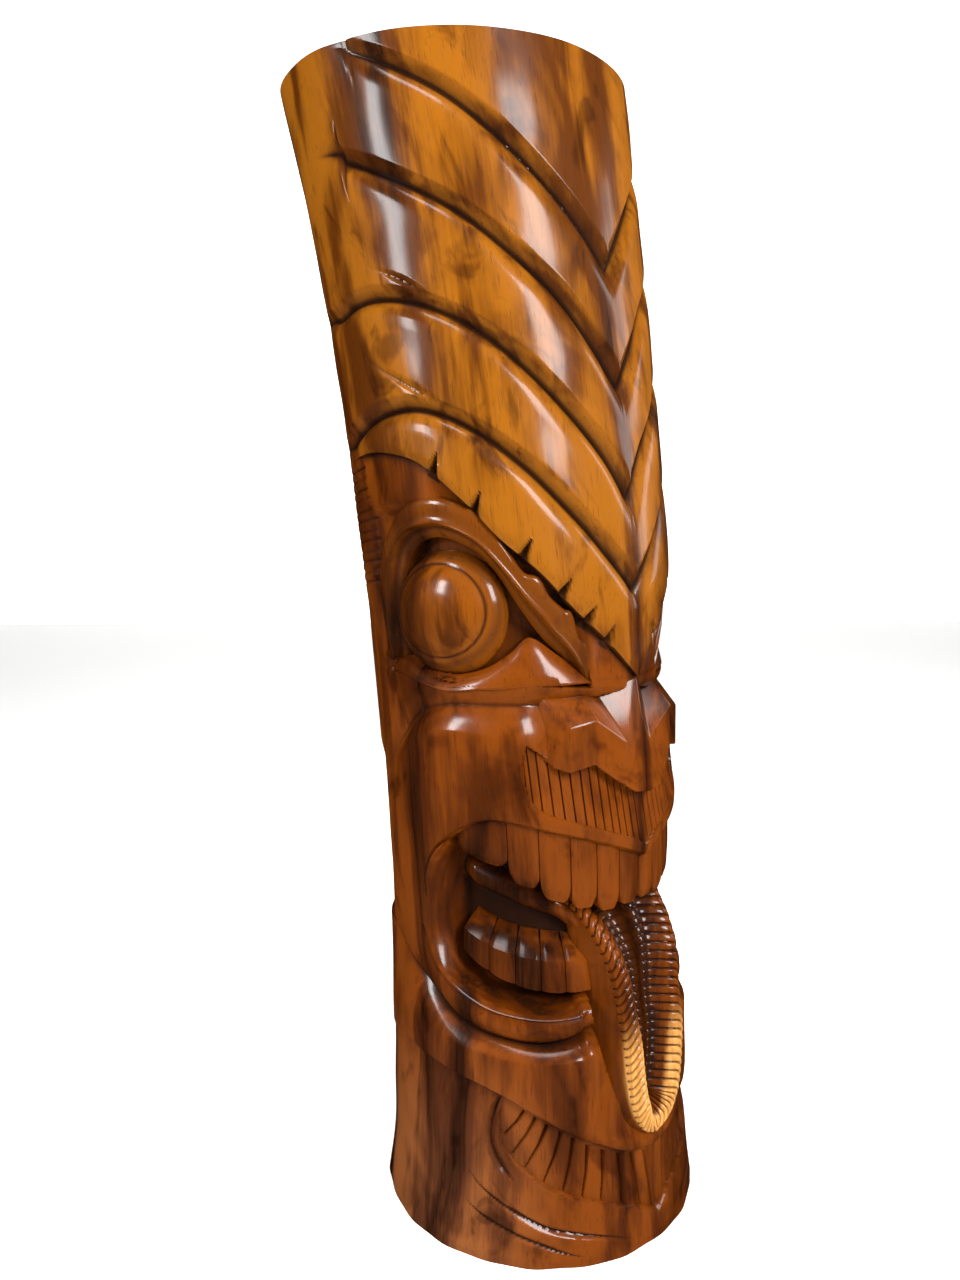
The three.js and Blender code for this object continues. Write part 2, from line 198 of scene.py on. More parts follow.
def along(points, a):
    """Height of an outline at each distance round, with no overshoot past its points."""
    curve = spread(points)
    curve = curve[np.argsort(curve[:, 0], kind="stable")]
    return np.interp(a, curve[:, 0], curve[:, 1])


def slope_length(points, a):
    rise = (along(points, a + 1.0) - along(points, np.maximum(a - 1.0, 0))) / 2.0
    return np.sqrt(1 + rise ** 2)


def over(points, a, z):
    """Distance above an outline, square to it."""
    return (z - along(points, a)) / slope_length(points, a)


def held(x):
    """A value held between 0 and 1."""
    return np.clip(x, 0, 1)


def ease(x):
    x = held(x)
    return x * x * (3 - 2 * x)


def running(line):
    """Distance along a line from its start to each of its points."""
    return np.concatenate([[0], np.cumsum(np.hypot(*np.diff(line, axis=0).T))])


def near_line(line, a, z):
    """Distance to a line, and how far along it the nearest point lies (0 to 1)."""
    best = np.full(np.shape(a), 1e9)
    part = np.zeros(np.shape(a))
    steps = np.hypot(*np.diff(line, axis=0).T)
    run = running(line)
    for i in range(len(line) - 1):
        dx, dz = line[i + 1] - line[i]
        t = held(((a - line[i, 0]) * dx + (z - line[i, 1]) * dz) / max(dx * dx + dz * dz, 1e-9))
        gap = np.hypot(a - line[i, 0] - t * dx, z - line[i, 1] - t * dz)
        closer = gap < best
        best = np.where(closer, gap, best)
        part = np.where(closer, (run[i] + t * steps[i]) / run[-1], part)
    return best, part


def within_box(line, reach, a, z):
    low, high = line.min(0) - reach, line.max(0) + reach
    return (a > low[0]) & (a < high[0]) & (z > low[1]) & (z < high[1])


def inside_by(outline, a, z, reach=60.0):
    """How far inside a closed outline each point lies; negative outside."""
    line = np.array(outline, float)
    result = np.full(np.shape(a), -reach)
    window = within_box(line, reach, a, z)
    wa, wz = a[window], z[window]
    closed = np.vstack([line, line[:1]])
    gap, _ = near_line(closed, wa, wz)
    odd = np.zeros(wa.shape, bool)
    for (a0, z0), (a1, z1) in zip(closed[:-1], closed[1:]):
        crosses = (z0 > wz) != (z1 > wz)
        odd ^= crosses & (wa < (a1 - a0) * (wz - z0) / ((z1 - z0) or 1e-9) + a0)
    result[window] = np.where(odd, gap, -gap)
    return result


def two_sided(line):
    """An outline that starts on the centre line, closed by its own mirror image."""
    line = np.array(line, float)
    return np.vstack([line, line[::-1] * (-1, 1)])


def cut_line(line, a, z, depth, width, taper):
    """A V-shaped knife or gouge cut along a line, which runs out at both ends."""
    line = np.array(line, float)
    result = np.zeros(np.shape(a))
    window = within_box(line, width, a, z)
    gap, part = near_line(line, a[window], z[window])
    fade = ease(part / taper) * ease((1 - part) / taper)
    result[window] = depth * fade * held(1 - gap / (width * np.maximum(fade, 0.2) / 2))
    return result


def lean(z):
    return LEAN * (np.maximum(z, 0) / HEIGHT) ** LEAN_CURVE


def bark_radius(s, z):
    flare = CROWN_FLARE * (z / HEIGHT) ** 4 + FOOT_FLARE * np.maximum(0, 1 - z / 100.0) ** 2
    flat = FACE_CUT * ease((z - 180) / 60.0) * (1 - ease((z - 540) / 60.0))
    front = 1 - ease((np.abs(s) / TRUNK_RADIUS - math.pi * 0.55) / (math.pi * 0.25))
    return TRUNK_RADIUS + flare - flat * front


def on_log(s, z, depth):
    """Points in metres at a distance round, a height and a depth under the bark."""
    s, z, depth = np.broadcast_arrays(np.asarray(s, float), np.asarray(z, float), np.asarray(depth, float))
    r = bark_radius(s, z) - depth
    angle = s / TRUNK_RADIUS
    return np.stack([r * np.sin(angle), lean(z) - r * np.cos(angle), z], -1) / MM


# ---- relief of the log: depth under the bark ----
def chevron(points, a, z, runs_out):
    n = over(points, a, z)
    above = held(1 - n / GROOVE_WALL)
    below = held(1 + n / GROOVE_ROLL) ** 3
    fade = 1 - ease((a - runs_out + 70) / 70.0)
    return GROOVE_DEPTH * fade * np.where(n >= 0, above, below)


def hand_work(s, z):
    """Slow unevenness that hand tools leave."""
    rng = np.random.default_rng(7)
    total = np.zeros(np.shape(s))
    for _ in range(14):
        turns = int(rng.integers(3, 15))
        tall = rng.uniform(60, 240)
        total = total + np.sin(turns * s / TRUNK_RADIUS + rng.uniform(0, 6.28)) * np.sin(
            6.28 * z / tall + rng.uniform(0, 6.28))
    return total * 0.16


def headdress(s, z):
    a = np.abs(s)
    depth = np.maximum.reduce([chevron(points, a, z, ends) for points, ends in CHEVRONS])
    for line in (SIDE_CUT_MID, SIDE_CUT_LOW):
        depth = depth + cut_line(spread(line), a, z, 2.6, 9.0, 0.5)
    return depth


def brow_relief(s, z):
    a = np.abs(s)
    n = over(BROW_EDGE, a, z)
    fade = 1 - ease((a - 240) / 60.0)
    depth = fade * 2.2 * held(1 - n / 9.0) ** 2
    for a0, z0, a1, z1 in BROW_NOTCHES:
        foot, tip = np.array([a0, z0 - 4.0]), np.array([a1, z1])
        length = np.linalg.norm(tip - foot)
        axis = (tip - foot) / length
        run = (a - foot[0]) * axis[0] + (z - foot[1]) * axis[1]
        side = (a - foot[0]) * -axis[1] + (z - foot[1]) * axis[0]
        width = np.maximum(9.0 * (1 - run / length), 0.1)
        opening = np.where(side > 0, 1 - side / width, 1 + side / (0.6 * width))
        notch = fade * (run > -3) * (run < length) * NOTCH_DEPTH
        depth = depth + notch * held(opening) * held(width / 5.0)
    return depth


def socket_fade(a):
    return 1 - ease((a - 255) / 40.0)


def face_relief(s, z):
    """Cheeks, eye sockets, the upper lip and the engraved panel between them."""
    a = np.abs(s)
    n = over(CHEEK_TOP, a, z)
    cove = SOCKET_DEPTH * (0.72 + 0.28 * ease((z - 515) / 30.0))
    shoulder = 13.0 * held(1 + n / 42.0) ** 2.6
    band = 13.0 - 6.0 * held(n / 18.0)
    temple = ease((a - 150) / 40.0) * ease((z - 640) / 20.0)
    cove = cove * (1 - 0.62 * temple) * (1 - 0.5 * (1 - ease((a - 40) / 30.0)))
    depth = np.where(n < 0, shoulder, np.where(z < 508, band, cove)) * socket_fade(a)
    lip = over(MOUTH_HIGH, a, z)
    over_mouth = 1 - ease((a - 222) / 12.0)
    lip_edge = 4.5 * held(1 - lip / 3.0) + 1.6 * held(1 - lip / 16.0) ** 2
    depth = depth + over_mouth * lip_edge
    cheek_side = ease((a - 296) / 14.0) * ease((z - 240) / 30.0) * (1 - ease((z - 400) / 40.0))
    depth = depth + 6.0 * cheek_side
    swell = np.exp(-((a - 195) / 60.0) ** 2 - ((z - 430) / 42.0) ** 2)
    depth = depth - 4.5 * swell
    beside_nose = held(1 - (a - 96) / 30.0) ** 1.6
    beside_nose = beside_nose * ease((z - 425) / 30.0) * (1 - ease((z - 480) / 20.0))
    depth = depth + 8.0 * beside_nose
    for i in range(HATCH_COUNT):
        low = HATCH_FOOT + HATCH_PITCH * i
        hatch = spread([(262, low + 6), (284, low + 1), (306, low - 2), (328, low - 1)], 4)
        depth = depth + cut_line(hatch, a, z, 2.2, 4.5, 0.2)
    return depth


def mouth_relief(s, z):
    a = np.abs(s)
    inside = inside_by(two_sided(spread(MOUTH, 5)), s, z)
    low_side = 1 - ease((a - 195) / 25.0)
    wall = 9.0 + 15.0 * (1 - low_side)
    sunk = MOUTH_DEPTH * ease(inside / wall)
    under_lip = over(MOUTH_HIGH, a, z)
    sunk = np.where((under_lip > -14) & (inside > -0.5) & (a < 200),
                    np.maximum(sunk, MOUTH_DEPTH * ease((inside + 1.5) / 2.0)), sunk)
    gap, _ = near_line(spread(TONGUE_ROOT), a, z)
    root = np.interp(a, [60, 110, 190, 215], [17, 14, 12, 5]) * np.sqrt(held(1 - (gap / 12.0) ** 2))
    root = root * (inside > 4)
    return sunk - root + 6.0 * ease((a - 296) / 14.0)


def lip_foot_depth(a):
    return np.interp(a, [0, 60, 100, 200, 294, 330], [26, 26, 20, 12, 5, 0])


def lip_relief(s, z):
    a = np.abs(s)
    low, high = along(LIP_FOOT, a), along(MOUTH_LOW, a)
    v = held((high - z) / np.maximum(high - low, 1))
    roll = lip_foot_depth(a) * 0.62 * v ** 3 + 3.0 * (1 - v) ** 6 * (a < 235)
    cheek_side = ease((a - 296) / 14.0) * ease((z - 235) / 30.0)
    return roll + 6.0 * cheek_side


def chin_relief(s, z):
    a = np.abs(s)
    below = -over(LIP_FOOT, a, z)
    crease = lip_foot_depth(a) * held(1 - below / 26.0) ** 2.4
    edge = over(CHIN_EDGE, a, z)
    turn = 1.6 * held(1 - edge / 6.0) ** 2 * (1 - ease((a - 240) / 60.0))
    swell = 4.5 * np.exp(-((a - 115) / 75.0) ** 2 - ((z - 172) / 28.0) ** 2)
    beside = 7.0 * (1 - ease((a - 48) / 24.0)) * ease((z - 92) / 20.0)
    return crease + turn + beside - swell


def chin_step(a):
    return np.interp(a, [0, 140, 165, 230, 300, 340], [BEARD_DEPTH, BEARD_DEPTH, 5.5, 4.5, 3.5, 0])


def foot_relief(s, z):
    a = np.abs(s)
    edge = np.clip(-over(CHIN_EDGE, a, z), 0, None)
    depth = chin_step(a) * held(1 - edge / 60.0) ** 1.5
    hollow = inside_by(two_sided(BEARD_TOP + BEARD_EDGE[::-1]), s, z, 20)
    depth = np.maximum(depth, (BEARD_DEPTH + 6) * ease((hollow - 2.0) / 3.0))
    for line, deep, wide, taper in FOOT_CUTS:
        depth = depth + cut_line(spread(line), a, z, deep, wide, taper)
    chipped = 2.0 * held(1 - z / 7.0) * (0.5 + 0.5 * np.sin(s / 9.0) * np.sin(s / 23.0))
    return depth + chipped


def seats(s, z, depth):
    """Deepens the log under each piece that is carved finer than the log."""
    a = np.abs(s)
    lid = inside_by(spread(LID_OUT, 4), a, z, 20)
    low_lid = inside_by(np.vstack([spread(LOWER_LID_TOP, 4), spread(LOWER_LID_EDGE, 4)[::-1]]), a, z, 20)
    nose = np.maximum(inside_by(NOSE_SEAT, a, z, 20), inside_by(two_sided(NOSE_SEAT), s, z, 20))
    moustache = inside_by(two_sided(MOUSTACHE_EDGE + MOUSTACHE_TOP[::-1]), s, z, 20)
    tongue = inside_by(two_sided([(0, 352)] + TONGUE_SIDE[1:]), s, z, 20)
    foot = inside_by(two_sided([(0, 352)] + [(p + skirt(q), q) for p, q in TONGUE_SIDE[1:]]), s, z, 20)
    foot_floor = np.interp(z, [96, 120, 150, 185, 200], [4, 6, 10, 19, 25])
    depth = np.maximum(depth, np.where(z < 345, foot_floor * ease((foot + 2.5) / 5.0), 0))
    eye = EYE_SEAT[2] - np.hypot(a - EYE_SEAT[0], z - EYE_SEAT[1])
    for hollow, floor, start in ((lid, 30, 3), (low_lid, 20, 3), (nose, 24, 2),
                                 (moustache, 20, 1.5), (tongue, 30, 5), (eye, 34, 0)):
        depth = np.maximum(depth, floor * ease((hollow - start) / 2.5))
    return depth


def shade_and_varnish_in_cuts(s, z, depth):
    """Painted shade, dark along the carved lines of the log, under its edges and in the mouth's hollow, with
    the varnish that gathers in cuts.
    """
    a = np.abs(s)
    # painted shade, darker where the carving lies deep
    mark = 0.5 * held((depth - 15) / 18.0)
    # painted shade along each chevron's deepest line, softer on the wall above it
    for points, ends in CHEVRONS:
        n = over(points, a, z)
        fade = 1 - ease((a - ends + 50) / 50.0)
        line = 0.95 * np.exp(-(n / 2.2) ** 2) + 0.42 * np.exp(-((n - 3) / 6.0) ** 2)
        mark = np.maximum(mark, fade * line)
    # painted shade at the foot of the lower lip, under the brow, in the crease along the cheeks' top and
    # under the chin
    lip = over(LIP_FOOT, a, z)
    mark = np.maximum(mark, 0.95 * np.exp(-(lip / 4.5) ** 2) * (1 - ease((a - 250) / 40.0)))
    under_brow = over(BROW_EDGE, a, z)
    mark = np.maximum(mark, 0.8 * np.exp(-(under_brow / 6.0) ** 2) * (under_brow < 0.3) * socket_fade(a))
    crease = over(CHEEK_TOP, a, z)
    mark = np.maximum(mark, 0.65 * np.exp(-(crease / 2.2) ** 2) * socket_fade(a))
    under_chin = over(CHIN_EDGE, a, z)
    chin_shadow = 0.8 * np.exp(-(under_chin / 3.0) ** 2) * (under_chin < 0.3)
    mark = np.maximum(mark, chin_shadow * (1 - ease((a - 230) / 60.0)))
    # painted shade in the brow's notches and in the cuts beside the beard
    mark = np.maximum(mark, 0.9 * held((brow_relief(s, z) - 2.6) / 2.5) * (under_brow > -6))
    for line in (FOOT_CUT_HIGH, FOOT_CUT_LOW):
        mark = np.maximum(mark, 0.9 * held(cut_line(spread(line), a, z, 3.4, 3.4, 0.3) / 1.6))
    # painted shade on the floor of the mouth's hollow, with less of it on the tongue's root
    in_mouth = (z > 262) & (z < 352)
    on_root = in_mouth & (depth < 36) & (depth > 22)
    hollow = held((depth - 36) / 4.0) * in_mouth
    mark = np.maximum(mark * (1 - 0.6 * on_root), 0.9 * hollow)
    return held(mark)


# ---- building meshes ----
def readings(mesh, kind):
    """The places or normals of a mesh's vertices."""
    values = np.empty(len(mesh.vertices) * 3)
    mesh.vertices.foreach_get(kind, values)
    return values.reshape(-1, 3)


def write_marks(mesh, name, values):
    mesh.attributes.new(name, "FLOAT", "POINT").data.foreach_set("value", values.astype(np.float32))


def make_piece(name, points, faces, mark=None):
    mesh = bpy.data.meshes.new(name)
    mesh.from_pydata(points.tolist(), [], faces)
    # dark marks of painted shade in cuts and hollows, with varnish gathered there
    marked_shade_and_varnish = np.zeros(len(points))
    if mark is not None:
        marked_shade_and_varnish[:mark.size] = mark.ravel()
    write_marks(mesh, "marked_shade_and_varnish", marked_shade_and_varnish)
    piece = bpy.data.objects.new(name, mesh)
    bpy.context.collection.objects.link(piece)
    mesh.shade_smooth()
    return piece


def select_only(piece):
    bpy.ops.object.select_all(action="DESELECT")
    piece.select_set(True)
    bpy.context.view_layer.objects.active = piece


def soften(piece, crisp_from):
    """Smooth shading, except at edges that turn by more than this angle in degrees."""
    select_only(piece)
    bpy.ops.object.shade_smooth_by_angle(angle=math.radians(crisp_from))


def columns():
    fine = np.arange(0, FINE_UNTIL + 0.1, FINE_STEP)
    count = int(round((HALF_WAY_ROUND - FINE_UNTIL) / BACK_STEP))
    back = np.linspace(FINE_UNTIL, HALF_WAY_ROUND, count + 1)[1:]
    right = np.concatenate([fine, back])
    return np.concatenate([-right[-2:0:-1], right])


def rows_between(low, high, s, start, end, spacing):
    """Row heights between two outlines: set distances off each outline, and even rows in between."""
    a = np.abs(s)
    z0, z1 = along(low, a), along(high, a)
    gap = z1 - z0
    start, end = np.array(start, float), np.array(end, float)
    g0, g1 = (np.minimum(slope_length(points, a), 2.2) for points in (low, high))
    squeeze = np.minimum(1, 0.8 * gap / (start[-1] * g0 + end[-1] * g1))
    below = [z0 + d * g0 * squeeze for d in start]
    above = [z1 - d * g1 * squeeze for d in end[::-1]]
    count = max(1, int(np.ceil((above[0] - below[-1]).max() / spacing)))
    middle = [below[-1] + (above[0] - below[-1]) * k / count for k in range(1, count)]
    return np.array(below + middle + above)


def band(name, low, high, relief, start, end, spacing):
    """A slice of the log between two outlines, closed to the log's heart above and below."""
    s = columns()
    z = rows_between(low, high, s, start, end, spacing)
    wide = np.broadcast_to(s, z.shape)
    depth = seats(wide, z, relief(wide, z)) + hand_work(wide, z)
    rows, count = z.shape
    surface = on_log(wide, z, depth).reshape(-1, 3)
    inner_low = on_log(s, z[0], HEART_DEPTH)
    inner_high = on_log(s, z[-1], HEART_DEPTH)
    hearts = np.array([[0, lean(h), h] for h in (z[0].mean(), z[-1].mean())]) / MM
    points = np.vstack([surface, inner_low, inner_high, hearts])
    j = np.arange(count)
    k = (j + 1) % count
    grid = np.arange(rows * count).reshape(rows, count)
    side = np.stack([grid[:-1, :], grid[:-1][:, k], grid[1:][:, k], grid[1:, :]], -1).reshape(-1, 4)
    first_low = rows * count
    first_high = first_low + count
    heart_low = first_high + count
    shelf_low = np.stack([j, first_low + j, first_low + k, k], -1)
    shelf_high = np.stack([grid[-1], grid[-1][k], first_high + k, first_high + j], -1)
    faces = side.tolist() + shelf_low.tolist() + shelf_high.tolist()
    faces += [(first_low + int(m), heart_low, first_low + int(n)) for m, n in zip(j, k)]
    faces += [(first_high + int(m), first_high + int(n), heart_low + 1) for m, n in zip(j, k)]
    piece = make_piece(name, points, faces, shade_and_varnish_in_cuts(wide, z, depth))
    soften(piece, 38)
    return piece


def shell(name, a, z, depth, floor, crisp_from, mark=None):
    """A carved panel: a grid of outer points, its walls down to a floor, and the floor itself."""
    rows, count = a.shape
    outer = on_log(a, z, depth).reshape(-1, 3)
    under = on_log(a, z, np.maximum(floor, depth + 1)).reshape(-1, 3)
    points = np.vstack([outer, under])
    grid = np.arange(rows * count).reshape(rows, count)
    below = grid + rows * count
    top = np.stack([grid[:-1, :-1], grid[:-1, 1:], grid[1:, 1:], grid[1:, :-1]], -1).reshape(-1, 4)
    bottom = np.stack([below[:-1, :-1], below[1:, :-1], below[1:, 1:], below[:-1, 1:]], -1).reshape(-1, 4)
    rim = np.concatenate([grid[0, :-1], grid[:-1, -1], grid[-1, :0:-1], grid[:0:-1, 0]])
    nxt = np.roll(rim, -1)
    wall = np.stack([rim, rim + rows * count, nxt + rows * count, nxt], -1)
    piece = make_piece(name, points, np.vstack([top, bottom, wall]).tolist(), mark)
    finish_normals(piece, crisp_from)
    return piece


def finish_normals(piece, crisp_from):
    bm = bmesh.new()
    bm.from_mesh(piece.data)
    bmesh.ops.remove_doubles(bm, verts=bm.verts, dist=1e-6)
    bmesh.ops.recalc_face_normals(bm, faces=bm.faces)
    bm.to_mesh(piece.data)
    bm.free()
    soften(piece, crisp_from)


def even_steps(points, count, per_span=8):
    """Points at even spacing along an outline."""
    curve = spread(points, per_span)
    run = running(curve)
    t = np.linspace(0, run[-1], count)
    return np.stack([np.interp(t, run, curve[:, 0]), np.interp(t, run, curve[:, 1])], -1)


def join(name, parts):
    bpy.ops.object.select_all(action="DESELECT")
    for part in parts:
        part.select_set(True)
    bpy.context.view_layer.objects.active = parts[0]
    bpy.ops.object.join()
    piece = bpy.context.view_layer.objects.active
    piece.name = name
    piece.data.name = name
    return piece


GROOVE_START = (0, 0.5, 2, 4, 6.5, 9, 11, 11.8, 12.4, 14, 17)
GROOVE_END = (0, 0.5, 1.2, 2.2, 3.5, 5.2, 7.5, 10.5, 14, 18, 22)
LIP_START = (0, 0.6, 1.5, 2.6, 3.2, 4.5)
SOFT_END = (0, 0.6, 1.5, 3, 5)


# ---- the eyes ----
def upper_lid(side):
    count = 260
    across = np.array([0, 0.03, 0.07, 0.12, 0.18, 0.24, 0.29, 0.33, 0.36, 0.39, 0.42, 0.46, 0.52, 0.6,
                       0.68, 0.76, 0.84, 0.9, 0.95, 0.98, 1.0])
    fall = np.array([20, 19, 17.5, 16, 15, 14, 12.5, 9.0, 5.5, 4.0, 3.6, 4.6, 5.4, 5.6,
                     5.4, 4.8, 4.6, 5.0, 6.0, 7, 10])
    inner = even_steps(LID_IN, count)
    outer = even_steps(LID_OUT, count, 4)
    t = np.linspace(0, 1, count)
    u = across[:, None]
    # only the lid's outermost edge keeps the chisel's facets
    window = np.ones(41) / 41
    soft = np.stack([np.convolve(np.pad(line, 20, mode="edge"), window, mode="valid") for line in outer.T], 1)
    sharp = ease((u - 0.72) / 0.2)
    a = inner[:, 0] * (1 - u) + (outer[:, 0] * sharp + soft[:, 0] * (1 - sharp)) * u
    z = inner[:, 1] * (1 - u) + (outer[:, 1] * sharp + soft[:, 1] * (1 - sharp)) * u
    corner = 6.0 * held(1 - t / 0.16) + 5.0 * held((t - 0.9) / 0.1)
    depth = np.broadcast_to(fall[:, None], a.shape) + corner
    return shell(f"{side}_upper_lid", sign(side) * a, z, depth, floor=34.0, crisp_from=32)


def lower_lid(side):
    count = 120
    across = np.array([0, 0.04, 0.12, 0.3, 0.5, 0.7, 0.86, 0.96, 1.0])
    fall = np.array([9.5, 7.2, 6.4, 7.5, 9.0, 11.0, 13.5, 16.0, 17.0])
    low = even_steps(LOWER_LID_EDGE, count)
    high = even_steps(LOWER_LID_TOP, count)
    u = across[:, None]
    a = low[:, 0] * (1 - u) + high[:, 0] * u
    z = low[:, 1] * (1 - u) + high[:, 1] * u
    t = np.linspace(0, 1, count)
    depth = np.broadcast_to(fall[:, None], a.shape) + 2.0 * held(1 - t / 0.2)
    return shell(f"{side}_lower_lid", sign(side) * a, z, depth, floor=32.0, crisp_from=32)


def eyeball(side):
    """A flattened ball with a raised oval dome on its front."""
    bpy.ops.mesh.primitive_uv_sphere_add(segments=96, ring_count=72, radius=1)
    ball = bpy.context.object
    ball.name = f"{side}_eye"
    x, y, h = readings(ball.data, "co").T * np.array([[EYE_RADIUS], [EYE_RADIUS], [EYE_BULGE]])
    q = np.hypot((x - sign(side) * DOME_SHIFT) / DOME_WIDE, (y - DOME_SHIFT) / DOME_TALL)
    front = h > 0
    dome = np.where(q < 1, 3.6 * held(1 - q ** 5) - 1.4, -1.4 * held(1 - (q - 1) / 0.12))
    lift = h + np.where(front, dome, 0)
    s, z, depth = EYE_CENTRE
    centre = on_log(sign(side) * s, z, depth) * MM
    angle = sign(side) * s / TRUNK_RADIUS
    out = np.array([math.sin(angle), -math.cos(angle), 0])
    right = np.array([math.cos(angle), math.sin(angle), 0])
    up = np.array([0, 0, 1.0])
    placed = centre + x[:, None] * right + y[:, None] * up + lift[:, None] * out
    for vertex, co in zip(ball.data.vertices, placed / MM):
        vertex.co = co
    # painted shade in the groove round the dome's edge, and a softer dark ring just outside it
    ring = 0.85 * np.exp(-((q - 1.02) / 0.03) ** 2) + 0.45 * np.exp(-((q - 1.2) / 0.12) ** 2)
    write_marks(ball.data, "marked_shade_and_varnish", np.where(front, ring, 0))
    finish_normals(ball, 50)
    return ball


# ---- the nose and what is under it ----
NOSE_POINTS = {
    "brow_tip": (0, 507, 3), "bridge": (0, 468, -2), "tip": (0, 409, -7), "tip_side": (18, 411, -6),
    "low_mid": (39, 425, -3), "low_dip": (56, 438, -1), "wing_low": (80, 433, -3),
    "wing_corner": (94, 437, 2), "wing_back": (107, 447, 10), "wing_top": (101, 499, 17),
    "crest": (79, 471, -5), "crest_in": (53, 476, -4), "valley_out": (60, 500, 16), "valley": (42, 501, 22),
    "wedge": (16, 452, 3), "shoulder": (9, 504, 7),
}
NOSE_FACETS = [
    ("brow_tip", "shoulder", "wedge", "bridge"), ("shoulder", "valley", "wedge"),
    ("valley", "valley_out", "crest_in", "wedge"), ("valley_out", "wing_top", "crest", "crest_in"),
    ("wing_top", "wing_back", "wing_corner", "crest"), ("wing_corner", "wing_low", "crest"),
    ("crest", "wing_low", "low_dip", "crest_in"), ("crest_in", "low_dip", "low_mid", "wedge"),
    ("wedge", "low_mid", "tip_side", "bridge"), ("bridge", "tip_side", "tip"),
]
NOSE_RIM = ["brow_tip", "shoulder", "valley", "valley_out", "wing_top", "wing_back", "wing_corner",
            "wing_low", "low_dip", "low_mid", "tip_side", "tip"]


def nose():
    points, index = [], {}
    for side in (1, -1):
        for name, (a, z, depth) in NOSE_POINTS.items():
            if side < 0 and a == 0:
                index[name, side] = index[name, 1]
                continue
            index[name, side] = len(points)
            points.append(on_log(side * a, z, depth))
    faces = [[index[n, side] for n in facet] for side in (1, -1) for facet in NOSE_FACETS]
    loop = [(n, 1) for n in NOSE_RIM] + [(n, -1) for n in reversed(NOSE_RIM[1:-1])]
    back = {}
    for n, side in loop:
        a, z, depth = NOSE_POINTS[n]
        lift = 5.0 if z < 450 else 0.0
        back[n, side] = len(points)
        points.append(on_log(side * a * 0.97, z + lift, 30.0))
    for i in range(len(loop)):
        p, q = loop[i], loop[(i + 1) % len(loop)]
        faces.append([index[p], index[q], back[q], back[p]])
    faces.append([back[p] for p in loop])
    piece = make_piece("carved_nose", np.array(points), [list(dict.fromkeys(f)) for f in faces])
    bm = bmesh.new()
    bm.from_mesh(piece.data)
    bmesh.ops.triangulate(bm, faces=[f for f in bm.faces if len(f.verts) > 4])
    bmesh.ops.recalc_face_normals(bm, faces=bm.faces)
    bm.to_mesh(piece.data)
    bm.free()
    select_only(piece)
    bevel = piece.modifiers.new("edges", "BEVEL")
    bevel.width = 1.6 / MM
    bevel.segments = 3
    bevel.limit_method = "ANGLE"
    bevel.angle_limit = math.radians(12)
    bpy.ops.object.modifier_apply(modifier="edges")
    soften(piece, 40)
    return piece


def moustache():
    lines = np.array(LIP_PANEL_CUTS, float)
    close = [lines + off for off in (-0.9, -0.45, 0, 0.45, 0.9)]
    m = np.unique(np.concatenate([np.linspace(0, LIP_PANEL_HALF, 100)] + close))
    full = np.concatenate([-m[:0:-1], m])
    mag = np.abs(full)
    low = along(MOUSTACHE_EDGE[:-2], mag)
    low = np.where(mag > 112, np.interp(mag, [112, 116, LIP_PANEL_HALF], [401, 406, 414]), low)
    a_high = mag + 4.0 * held(mag / 100.0)
    high = np.interp(mag, [0, 20, 42, 60, 80, 96, 108, 119], [416, 418, 434, 444, 441, 450, 456, 452])
    high = np.maximum(high, low + 4)
    u = np.array([0, 0.012, 0.03, 0.05, 0.08, 0.2, 0.35, 0.5, 0.7, 0.85, 1.0])[:, None]
    a = mag * (1 - u) + a_high * u
    z = low * (1 - u) + high * u
    reach = np.minimum.reduce([np.abs(mag - line) for line in lines])
    groove = held(1 - reach / 0.9) * (u > 0.04)
    frame_line = held(1 - np.abs(u - 0.012) / 0.03) * np.ones_like(a)
    outer = held((mag - 117) / 2.0)
    sink = 7.5 * u ** 0.8 * (1 - 0.7 * ease((mag - 95) / 24.0))
    depth = 1.6 + sink + 1.7 * groove + 1.8 * np.maximum(frame_line, outer)
    # painted shade in the panel's cut lines, along its lower edge and at its ends
    mark = np.maximum(0.95 * groove, 0.85 * np.maximum(frame_line, outer))
    return shell("engraved_lip_panel", np.sign(full) * a, z, depth, 26.0, 25, mark)


# ---- the mouth ----
def tooth(left, right, low, high, depth, lean_back, top_facet=None):
    """One tooth: a block with a crowned face and rounded corners, bent to the log."""
    bpy.ops.mesh.primitive_cube_add(size=2)
    block = bpy.context.object
    bpy.ops.object.mode_set(mode="EDIT")
    bpy.ops.mesh.select_all(action="SELECT")
    bpy.ops.mesh.subdivide(number_cuts=9)
    bpy.ops.object.mode_set(mode="OBJECT")
    u, v, w = readings(block.data, "co").T
    half = (right - left) / 2 - TOOTH_GAP
    middle = (right + left) / 2
    end = held(-w if top_facet is None else w)
    rounding = held((np.abs(u) - 0.5) / 0.5) ** 2
    narrow = 1 - 0.10 * end ** 4
    a = middle + u * half * narrow
    edge_low, edge_high = low(a), high(a)
    z = edge_low + (edge_high - edge_low) * (w + 1) / 2
    face = depth + lean_back * (w + 1) / 2 + 2.2 * np.abs(u) ** 4
    if top_facet is None:
        z = z + 5.0 * rounding * end ** 3
        face = face + 3.0 * end ** 5
    else:
        face = face + top_facet * held((w - 0.22) / 0.78)
    mix = (v + 1) / 2
    d = face * (1 - mix) + TOOTH_BACK * mix
    for vertex, point in zip(block.data.vertices, on_log(a, z, d)):
        vertex.co = point
    return block


